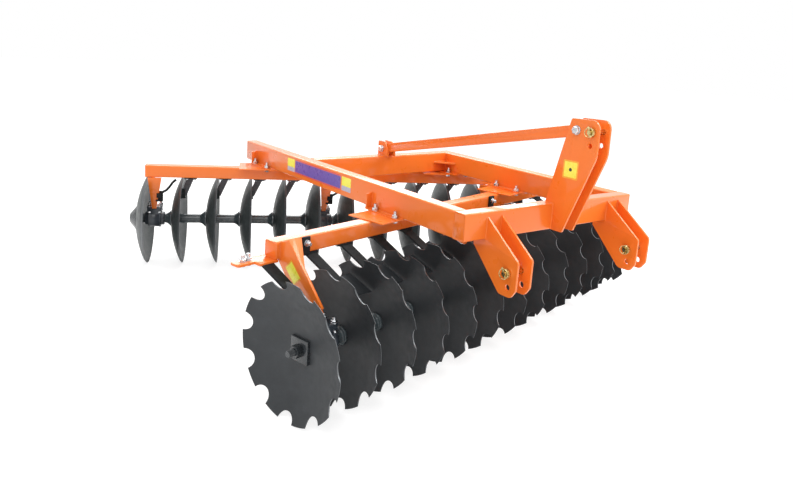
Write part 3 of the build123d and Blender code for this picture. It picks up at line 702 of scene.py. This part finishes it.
def fastener_tree():
    """Washer, hexagon and thread end on every point, along its axis; sizes count shank radii."""
    labels = ("Hex height", "Thread reach", "Washer thickness")
    tree, add, maths = new_tree(
        "hex_fastener", [(label, "Float") for label in labels] + [("Finish", "Material")])
    given = add("NodeGroupInput").outputs
    height, reach, washer = (given[label] for label in labels)

    def sum_of(a, b, factor=1.0):
        return maths("MULTIPLY_ADD", b, factor, a)

    def lifted(mesh, height):
        rise = add("ShaderNodeCombineXYZ", {"Z": height}).outputs[0]
        return add("GeometryNodeTransform", {"Geometry": mesh, "Translation": rise}).outputs[0]

    def cylinder(**sizes):
        sizes = {key.replace("_", " "): value for key, value in sizes.items()}
        return add("GeometryNodeMeshCylinder", sizes).outputs["Mesh"]

    disc = cylinder(Vertices=20, Radius=WASHER_RADIUS, Depth=washer)
    disc = lifted(disc, sum_of(0.0, washer, 0.5))
    body_height = sum_of(0.0, height, BODY_SHARE)
    hexagon = cylinder(Vertices=6, Radius=HEX_RADIUS, Depth=body_height)
    hexagon = lifted(hexagon, sum_of(washer, body_height, 0.5))
    crown = add("GeometryNodeMeshCone", {
        "Vertices": 6, "Radius Top": CROWN_RADIUS, "Radius Bottom": HEX_RADIUS,
        "Depth": sum_of(0.0, height, CROWN_SHARE),
    })
    crown = lifted(crown.outputs["Mesh"], sum_of(washer, body_height))
    stem = cylinder(Vertices=12, Side_Segments=14, Radius=THREAD_RADIUS, Depth=reach)
    position = add("GeometryNodeInputPosition").outputs[0]
    parts = add("ShaderNodeSeparateXYZ", {0: position}).outputs
    wave = maths("SINE", maths("MULTIPLY", parts["Z"], THREAD_WAVE))
    wave = sum_of(1.0, wave, THREAD_DEPTH)
    grooved = add("ShaderNodeCombineXYZ", {
        "X": maths("MULTIPLY", parts["X"], wave),
        "Y": maths("MULTIPLY", parts["Y"], wave),
        "Z": parts["Z"],
    }).outputs[0]
    stem = add("GeometryNodeSetPosition", {"Geometry": stem, "Position": grooved}).outputs[0]
    stem = lifted(stem, sum_of(sum_of(washer, height), reach, 0.42))
    joined = add("GeometryNodeJoinGeometry")
    for part in (disc, hexagon, crown, stem):
        tree.links.new(part, joined.inputs[0])
    axis, size = (
        add("GeometryNodeInputNamedAttribute", {"Name": name}, data_type=kind).outputs["Attribute"]
        for name, kind in (("axis", "FLOAT_VECTOR"), ("size", "FLOAT")))
    turn = add("FunctionNodeAlignRotationToVector", {"Vector": axis}, axis="Z").outputs[0]
    spin = random_value(add, 0.0, 6.28, 7)
    spun = add("FunctionNodeAxisAngleToRotation", {"Axis": (0, 0, 1), "Angle": spin}).outputs[0]
    turn = add("FunctionNodeRotateRotation", {0: turn, 1: spun}, rotation_space="LOCAL").outputs[0]
    spread = add("GeometryNodeInstanceOnPoints", {
        "Points": given["Geometry"], "Instance": joined.outputs[0], "Rotation": turn, "Scale": size,
    }).outputs[0]
    end_tree(add, spread, given["Finish"])
    return tree


def weld_tree():
    """A rippled weld bead along the edges of a mesh."""
    tree, add, maths = new_tree("weld_bead", (
        ("Bead radius", "Float"), ("Ripple length", "Float"), ("Finish", "Material")))
    given = add("NodeGroupInput").outputs
    path = add("GeometryNodeMeshToCurve", {0: given["Geometry"]}).outputs[0]
    step = maths("MULTIPLY", given["Ripple length"], 0.34)
    path = add("GeometryNodeResampleCurve", {"Curve": path, "Length": step}, mode="LENGTH")
    path = path.outputs[0]
    along = add("GeometryNodeSplineParameter").outputs["Length"]
    phase = maths("FRACT", maths("DIVIDE", along, given["Ripple length"]))
    ripple = maths("MULTIPLY_ADD", phase, 0.22, 0.86)
    ripple = maths("MULTIPLY", ripple, random_value(add, 0.92, 1.06, 3))
    path = add("GeometryNodeSetCurveRadius", {"Curve": path, "Radius": ripple}).outputs[0]
    ring = add("GeometryNodeCurvePrimitiveCircle", {
        "Resolution": 8, "Radius": given["Bead radius"],
    }).outputs[0]
    bead = add("GeometryNodeCurveToMesh", {
        "Curve": path, "Profile Curve": ring, "Fill Caps": True, "Scale": ripple,
    }).outputs[0]
    end_tree(add, bead, given["Finish"])
    return tree


def grown(name, mesh, tree, values):
    """Run a tree on a mesh of points or paths and give the plain mesh that it makes."""
    work = placed(name + "_work", mesh)
    modifier = work.modifiers.new("grow", "NODES")
    modifier.node_group = tree
    for item in tree.interface.items_tree:
        if item.in_out == "INPUT" and item.name in values:
            modifier[item.identifier] = values[item.name]
    return baked(work)


def point_mesh(name, spots):
    """Loose points that carry an axis and a size, from (place, axis, size in millimetres)."""
    mesh = bpy.data.meshes.new(name)
    mesh.from_pydata([spot[0] for spot in spots], [], [])
    mesh.attributes.new("axis", "FLOAT_VECTOR", "POINT")
    mesh.attributes.new("size", "FLOAT", "POINT")
    mesh.attributes["axis"].data.foreach_set("vector", [c for spot in spots for c in spot[1]])
    mesh.attributes["size"].data.foreach_set("value", [spot[2] / 1000 for spot in spots])
    return mesh


FASTENERS = fastener_tree()
WELDS = weld_tree()


class BoltList:
    """Bolt heads and nuts by place, for two pieces: all its heads and all its nuts."""

    def __init__(self):
        self.heads, self.nuts = [], []

    def through(self, axes, head, nut, radius):
        """A bolt between the two outer faces of what it clamps, head first."""
        start, end = axes @ Vector(head), axes @ Vector(nut)
        direction = (start - end).normalized()
        self.heads.append((start, direction, radius))
        self.nuts.append((end, -direction, radius))

    def stud(self, axes, foot, direction, radius, nut=True):
        """A nut with its thread end, or a bolt head, on one face."""
        start = axes @ Vector(foot)
        pointing = (axes.to_3x3() @ Vector(direction)).normalized()
        (self.nuts if nut else self.heads).append((start, pointing, radius))

    def build(self, name, thread=1.5):
        """Make the zinc plated pieces; thread is what stands out of a nut, in shank radii."""
        for label, spots, reach in (("heads", self.heads, 0.02), ("nuts", self.nuts, thread)):
            mesh = grown(name, point_mesh(name + "_points", spots), FASTENERS, {
                "Hex height": 1.25, "Thread reach": reach, "Washer thickness": 0.35,
                "Finish": BRIGHT_ZINC,
            })
            keep_mesh(name + "_" + label, mesh, "frame", BRIGHT_ZINC, 30.0)


def gang_crossing(axes, across, beam_x):
    """Where a side beam's middle line crosses a gang beam's middle line, in that gang's axes."""
    inverse = axes.inverted() @ MAIN
    start = inverse @ Vector((beam_x, 0, 0))
    ahead = inverse @ Vector((beam_x, 1000, 0))
    share = (across - start.y) / (ahead.y - start.y)
    return axes @ Matrix.Translation((start.x + share * (ahead.x - start.x), across, 0))


# The right beam's crossing and then the left beam's, first on the front gang beam
CROSSINGS = [
    gang_crossing(axes, halfway(gang_beam), halfway(side_beam))
    for axes, gang_beam in ((FRONT, FRONT_GANG_BEAM), (REAR, REAR_GANG_BEAM))
    for side_beam in (RIGHT_BEAM, LEFT_BEAM)
]
END_PLATE_BOLTS = ((12, 331), (42, 331))
clamps = BoltList()
for spot in CROSSINGS:
    centre = MAIN.inverted() @ spot.translation
    along = spot.to_3x3() @ Vector((1, 0, 0))
    for x in (-59, 59):
        for y in (-88, 88):
            place = (centre.x + x, centre.y + y + x * along.y / along.x)
            clamps.through(MAIN, (*place, BEAM_TOP), (*place, FRAME_BOTTOM), radius=9.5)
for place in END_PLATE_BOLTS:
    clamps.stud(FRONT, (*place, BEAM_BOTTOM), (0, 0, 1), radius=8.5)
clamps.build("crossing_fasteners", thread=2.4)

silver = BoltList()
for axes, places in ((FRONT, FRONT_BEARINGS), (REAR, REAR_BEARINGS)):
    for middle in places:
        for x in (middle - 34, middle + 34):
            for y in (-33, 33):
                silver.through(axes, (x, y, FLANGE_BOTTOM), (x, y, FOOT_TOP), radius=8.5)
for strap_x in (307.0, 1835.0):
    silver.stud(FRONT, (strap_x, 248, 664), (0, -1, 0), radius=9.0)
for place in END_PLATE_BOLTS:
    silver.stud(FRONT, (*place, LEG_BOTTOM), (0, 0, -1), radius=7.0, nut=False)
# Under the scrapers' legs; the gaps that the hangers fill have none
for axes, count, filled, first_x, y in (
    (FRONT, FRONT_DISCS, (0, 5, 11), 120, 300),
    (REAR, REAR_DISCS, (0, 5, 10), 50, -62),
):
    for gap in range(count - 1):
        if gap not in filled:
            for dx in (-24, 24):
                foot = (gap * DISC_SPACING + first_x + dx, y, LEG_BOTTOM)
                silver.stud(axes, foot, (0, 0, -1), radius=6.0, nut=False)
silver.build("silver_fasteners")

large = BoltList()
for half, bolt in ((MAST_FACES[1], TIE_BAR_FRONT_BOLT), (EAR_FACES[1], TIE_BAR_REAR_BOLT)):
    large.through(MAIN, (MAST_CENTRE - half, *bolt), (MAST_CENTRE + half, *bolt), radius=12.0)
large.build("tie_bar_fasteners")
for node in ("tie_bar_front_bolt", "tie_bar_rear_bolt"):
    softened(node, "frame", BRIGHT_ZINC)
for node in ("right_hitch_pin", "left_hitch_pin", "top_link_pin"):
    softened(node, "frame", YELLOW_ZINC, 0.0015)


# Lynch pins with their spring rings, on both ends of the hitch pins and of the top link pin

def lynch_pin(bm, face_x, pin, out, pin_radius, lean):
    """A clip through a pin's end outside a face; out is -1 or 1 along X."""
    y, z = pin
    rod(bm, MAIN, [(face_x - out * 2, y, z), (face_x + out * 14, y, z)], pin_radius * 0.8, sides=20)
    tilt = Vector((0, math.sin(lean), math.cos(lean)))
    across = Vector((0, math.cos(lean), -math.sin(lean)))
    centre = Vector((face_x + out * 7, y, z))
    reach = pin_radius + 9
    rod(bm, MAIN, [centre - reach * tilt, centre + (reach + 2) * tilt], 4.2, sides=12)
    rod(bm, MAIN, [centre + (reach - 1) * tilt, centre + (reach + 7) * tilt], 6.6, sides=12)
    ring = []
    for k in range(28):
        angle = 2 * math.pi * k / 28
        swing = reach * 1.02 * math.cos(angle) * tilt + reach * 0.94 * math.sin(angle) * across
        ring.append(centre + swing + Vector((out * (5 + 5 * math.sin(angle)), 0, 0)))
    rod(bm, MAIN, ring, 2.4, closed=True, sides=8)


bm = bmesh.new()
for centre, lean in zip(HITCH_CENTRES, (0.5, -0.3)):
    lynch_pin(bm, centre - 64.6, HITCH_PIN, -1, 14, lean)
    lynch_pin(bm, centre + 58, HITCH_PIN, 1, 14, lean + 0.9)
lynch_pin(bm, MAST_CENTRE - 59.6, TOP_LINK_PIN, -1, 12.5, 0.4)
lynch_pin(bm, MAST_CENTRE + 53, TOP_LINK_PIN, 1, 12.5, -0.5)
mesh_piece("lynch_pins", bm, "frame", YELLOW_ZINC, 40.0)

# Short scraper arms clamped beside the rear hangers, for the gaps that the hangers fill
ARM_PATH = [
    (36, -88, 486), (52, -88, 500), (66, -88, 512), (84, -90, 522), (104, -92, 546),
    (124, -94, 576), (146, -94, 596),
]
bm = bmesh.new()
for x in REAR_BEARINGS:
    spot = REAR @ Matrix.Translation((x, 0, 0))
    prism(bm, spot, rounded_box(12, 60, -78, -66, 3), 440, 512)
    prism(bm, spot, rounded_box(20, 52, -98, -78, 4), 470, 500)
    rod(bm, spot, ARM_PATH, 8, sides=12)
mesh_piece("rear_scraper_arms", bm, "frame", SCRAPER_GREY, 40.0)

# Thread on the stub that the front gang's nut sits on
bm = bmesh.new()
ridges = [(-3.5, 13.2)]
for x in range(-3, 26, 3):
    ridges += [(x + 0.3, 14.1), (x + 1.2, 15.2), (x + 2.1, 14.1)]
lathe(bm, FRONT, (0, 0, DISC_RADIUS), [*ridges, (26.5, 13.2)], 28)
mesh_piece("shaft_thread", bm, "front_gang", GANG_BLACK, 20.0)


# Weld beads

def weld_paths():
    """Paths in metres along the edges where plates and beams meet."""
    paths = []
    fore, aft = FRONT_BEAM
    near, far = CROSS_BEAM
    low, high = FRAME_BOTTOM, FRAME_TOP

    def bead(axes, *points):
        paths.append([axes @ Vector(point) for point in points])

    def upright(x, y):
        bead(MAIN, (x, y, low + 7), (x, y, high - 7))

    def both_faces(centre, faces):
        inner, outer = faces
        return (centre - outer, centre - inner, centre + inner, centre + outer)

    # Hitch plates, mast plates and the tie bar's ears
    for centre in HITCH_CENTRES:
        for x in both_faces(centre, (40, 52)):
            bead(MAIN, (x, fore, 808), (x, fore, low), (x, aft - 4, low))
    for x in both_faces(MAST_CENTRE, MAST_FACES):
        bead(MAIN, (x, -50, high), (x, fore, high), (x, fore, low + 3))
    for x in both_faces(MAST_CENTRE, EAR_FACES):
        bead(MAIN, (x, near + 2, high), (x, far - 2, high))
    # The frame's corners and their gussets; the left beam ends flush with the cross beam's back
    for x, side, ends in ((RIGHT_BEAM[1], 1, (near, far)), (LEFT_BEAM[0], -1, (near,))):
        for y in (aft, *ends):
            upright(x, y)
        for z in (767, 777):
            bead(MAIN, (x, near - 106, z), (x, near - 4, z))
            bead(MAIN, (x + side * 106, near, z), (x + side * 4, near, z))
    # Ribs and plates at the crossings
    for beam, face, side, spots in (
        (RIGHT_BEAM, RIGHT_BEAM[0], -1, CROSSINGS[0::2]),
        (LEFT_BEAM, LEFT_BEAM[1], 1, CROSSINGS[1::2]),
    ):
        for spot in spots:
            middle = (MAIN.inverted() @ spot).translation.y
            rib = middle + 139
            for y in (rib - PLATE_HALF, rib + PLATE_HALF):
                bead(MAIN, (face, y, 785), (face, y, low), (face + side * 34, y, low))
            for edge in beam:
                bead(MAIN, (edge, middle - 142, low), (edge, middle + 142, low))
            for across in (-40, 40):
                bead(spot, (-205, across, BEAM_TOP - 2), (205, across, BEAM_TOP - 2))
    # Hangers, to the gang beams above and to their feet below
    for bearing in FRONT_BEARINGS:
        middle, face = bearing + FRONT_HANGER_SIDE, FRONT_GANG_BEAM[0]
        for x in (middle - PLATE_HALF, middle + PLATE_HALF):
            bead(FRONT, (x, face, BEAM_TOP), (x, face, BEAM_BOTTOM), (x, face + 16, BEAM_BOTTOM))
            bead(FRONT, (x, -42, FOOT_TOP), (x, 42, FOOT_TOP))
    for middle in REAR_BEARINGS:
        first, last = REAR_GANG_BEAM
        for x in (middle - PLATE_HALF, middle + PLATE_HALF):
            bead(REAR, (x, first + 4, BEAM_BOTTOM), (x, last - 4, BEAM_BOTTOM))
            bead(REAR, (x, -42, FOOT_TOP), (x, 42, FOOT_TOP))
    return paths


bead_mesh = bpy.data.meshes.new("weld_paths")
points, edges = [], []
for path in weld_paths():
    edges += [(len(points) + i, len(points) + i + 1) for i in range(len(path) - 1)]
    points += path
bead_mesh.from_pydata(points, edges, [])
beads = grown("welds", bead_mesh, WELDS, {
    "Bead radius": 0.0042, "Ripple length": 0.009, "Finish": ORANGE,
})
keep_mesh("weld_beads", beads, "frame", ORANGE, 60.0)


# Stickers and the side band, thin films on the painted faces, in plain shapes

def facing_right(axes, x):
    """Axes on a face that looks to the machine's right: forwards, then up, then outwards."""
    return axes @ Matrix(((0, 0, -1, x), (-1, 0, 0, 0), (0, 1, 0, 0), (0, 0, 0, 1)))


def films(name, axes, materials, *layers):
    """One piece of (outline, lower face, upper face, material's place in the list) layers."""
    bm = bmesh.new()
    for outline, low, high, index in layers:
        prism(bm, axes, outline, low, high, index)
    mesh_piece(name, bm, "frame", materials)


dot = []
for k in range(16):
    angle = k * math.pi / 8
    dot.append((184 + 9 * math.cos(angle), 1026 + 9 * math.sin(angle)))
films(
    "mast_sticker", facing_right(MAIN, MAST_CENTRE - MAST_FACES[1]),
    [STICKER_BORDER, STICKER_YELLOW, STICKER_DARK],
    (rounded_box(138, 230, 980, 1072, 6), -0.2, 0.25, 0),
    (rounded_box(146, 222, 988, 1064, 4), 0.2, 0.45, 1),
    (dot, 0.4, 0.6, 2),
)

# Each box is (first y, last y, lower edge, upper edge, corner), then its material's place
BAND = (
    (-1589, -1496, 766, 818, 2, 0), (-1589, -1496, 738, 766, 2, 1),
    (-941, -847, 766, 818, 2, 0), (-941, -847, 738, 766, 2, 1),
    (-1490, -953, 742, 814, 3, 2), (-1490, -953, 734, 739, 2, 3), (-1490, -953, 817, 822, 2, 3),
)
films(
    "side_band", facing_right(MAIN, RIGHT_BEAM[0]),
    [STICKER_YELLOW, BAND_LILAC, BAND_VIOLET, BAND_RED],
    *((rounded_box(*box), -0.2, 0.3, index) for *box, index in BAND),
)

# On the side of the first front hanger, along its slope up to the gang beam
corners = [Vector(corner) for corner in ((-225, 587), (-184, 629), (-118, 561), (-161.5, 517))]
middle = sum(corners, Vector((0, 0))) / 4
films(
    "hanger_sticker", facing_right(FRONT, FRONT_BEARINGS[0] + FRONT_HANGER_SIDE - PLATE_HALF),
    [STICKER_BORDER, STICKER_YELLOW],
    (corners, -0.2, 0.25, 0),
    ([middle + (corner - middle) * 0.86 for corner in corners], 0.2, 0.45, 1),
)


# Floor, light and camera

class StudioTree:
    """The cleared node tree of the floor's material or of the world."""

    def __init__(self, owner):
        owner.use_nodes = True
        self.tree = owner.node_tree
        self.tree.nodes.clear()
        self.rays = self.add("ShaderNodeLightPath").outputs

    def add(self, kind, *sources):
        node = self.tree.nodes.new(kind)
        for source, socket in zip(sources, node.inputs):
            self.tree.links.new(source, socket)
        return node

    def grey(self, kind, value, strength=1.0):
        """A shader of one grey, with its strength where it has one."""
        node = self.add(kind)
        node.inputs["Color"].default_value = (value, value, value, 1)
        if "Strength" in node.inputs:
            node.inputs["Strength"].default_value = strength
        return node.outputs[0]

    def split(self, share, usual, seen, output_kind):
        """End the tree with one shader for most rays and another for a share of them."""
        mix = self.add("ShaderNodeMixShader", share, usual, seen)
        self.add(output_kind, mix.outputs[0])


def pale_floor():
    """Pale studio floor, white to the camera but for the object's soft shadow."""
    material = bpy.data.materials.new("studio_floor")
    studio = StudioTree(material)
    bounce = studio.grey("ShaderNodeBsdfDiffuse", 0.90)
    shade = studio.grey("ShaderNodeBsdfDiffuse", 0.40)
    glow = studio.grey("ShaderNodeEmission", 0.74)
    seen = studio.add("ShaderNodeAddShader", shade, glow).outputs[0]
    studio.split(studio.rays["Is Camera Ray"], bounce, seen, "ShaderNodeOutputMaterial")
    return material


def white_world():
    """White round the scene, a little dimmer as light than as seen or mirrored."""
    world = bpy.data.worlds.new("studio")
    studio = StudioTree(world)
    light = studio.grey("ShaderNodeBackground", 1.0, 0.84)
    white = studio.grey("ShaderNodeBackground", 1.0)
    either = studio.add(
        "ShaderNodeMath", studio.rays["Is Camera Ray"], studio.rays["Is Glossy Ray"])
    either.operation = "MAXIMUM"
    studio.split(either.outputs[0], light, white, "ShaderNodeOutputWorld")
    return world


floor_corners = [(-30, -30, 0), (30, -30, 0), (30, 30, 0), (-30, 30, 0)]
floor_mesh = bpy.data.meshes.new("studio_floor")
floor_mesh.from_pydata(floor_corners, [], [(0, 1, 2, 3)])
floor_mesh.materials.append(pale_floor())
floor = placed("studio_floor", floor_mesh)
bpy.context.scene.world = white_world()


def softbox(name, place, target, size, power):
    """A rectangular lamp turned from its place to a target, in metres and watts."""
    lamp = bpy.data.lights.new(name, "AREA")
    lamp.shape = "RECTANGLE"
    lamp.size, lamp.size_y = size
    lamp.energy = power
    holder = placed(name, lamp)
    holder.location = place
    holder.rotation_euler = (Vector(target) - Vector(place)).to_track_quat("-Z", "Y").to_euler()


softbox("key_over_left", (-4.0, -3.0, 5.5), (0, 0, 0.6), (4.0, 3.0), 102)
softbox("sky_above", (1.2, 0.9, 4.8), (0, 0, 0.6), (4.0, 4.0), 105)
softbox("edge_light", (2.8, -2.4, 4.8), (-0.2, -1.4, 0.6), (2.4, 2.4), 140)
softbox("top_behind", (1.8, 3.8, 3.4), (0, 0, 0.8), (6.0, 2.0), 205)
softbox("fill_right", (4.5, -4.0, 2.5), (0, 0, 0.6), (3.0, 3.0), 52)

# The photo's camera, solved from the photo together with the part
yaw, pitch, roll = (math.radians(angle) for angle in (-36.03, 10.56, 3.39))
level_ahead = Vector((-math.sin(yaw), math.cos(yaw), 0))
level_right = Vector((math.cos(yaw), math.sin(yaw), 0))
straight_up = Vector((0, 0, 1))
ahead = level_ahead * math.cos(pitch) - straight_up * math.sin(pitch)
tilted_up = straight_up * math.cos(pitch) + level_ahead * math.sin(pitch)
right = level_right * math.cos(roll) + tilted_up * math.sin(roll)
up = tilted_up * math.cos(roll) - level_right * math.sin(roll)
camera_data = bpy.data.cameras.new("photo_camera")
camera_data.sensor_width = 36.0
camera_data.lens = 31.90
camera_data.shift_x = 0.0227
camera_data.shift_y = -0.0825
camera = placed("photo_camera", camera_data)
eye = MAIN @ Vector((-1318.1, -2365.0, 1582.3))
turn = Matrix((right, up, -ahead)).transposed().to_4x4()
camera.matrix_world = Matrix.Translation(eye) @ turn
bpy.context.scene.camera = camera
bpy.context.scene.view_settings.view_transform = "Standard"
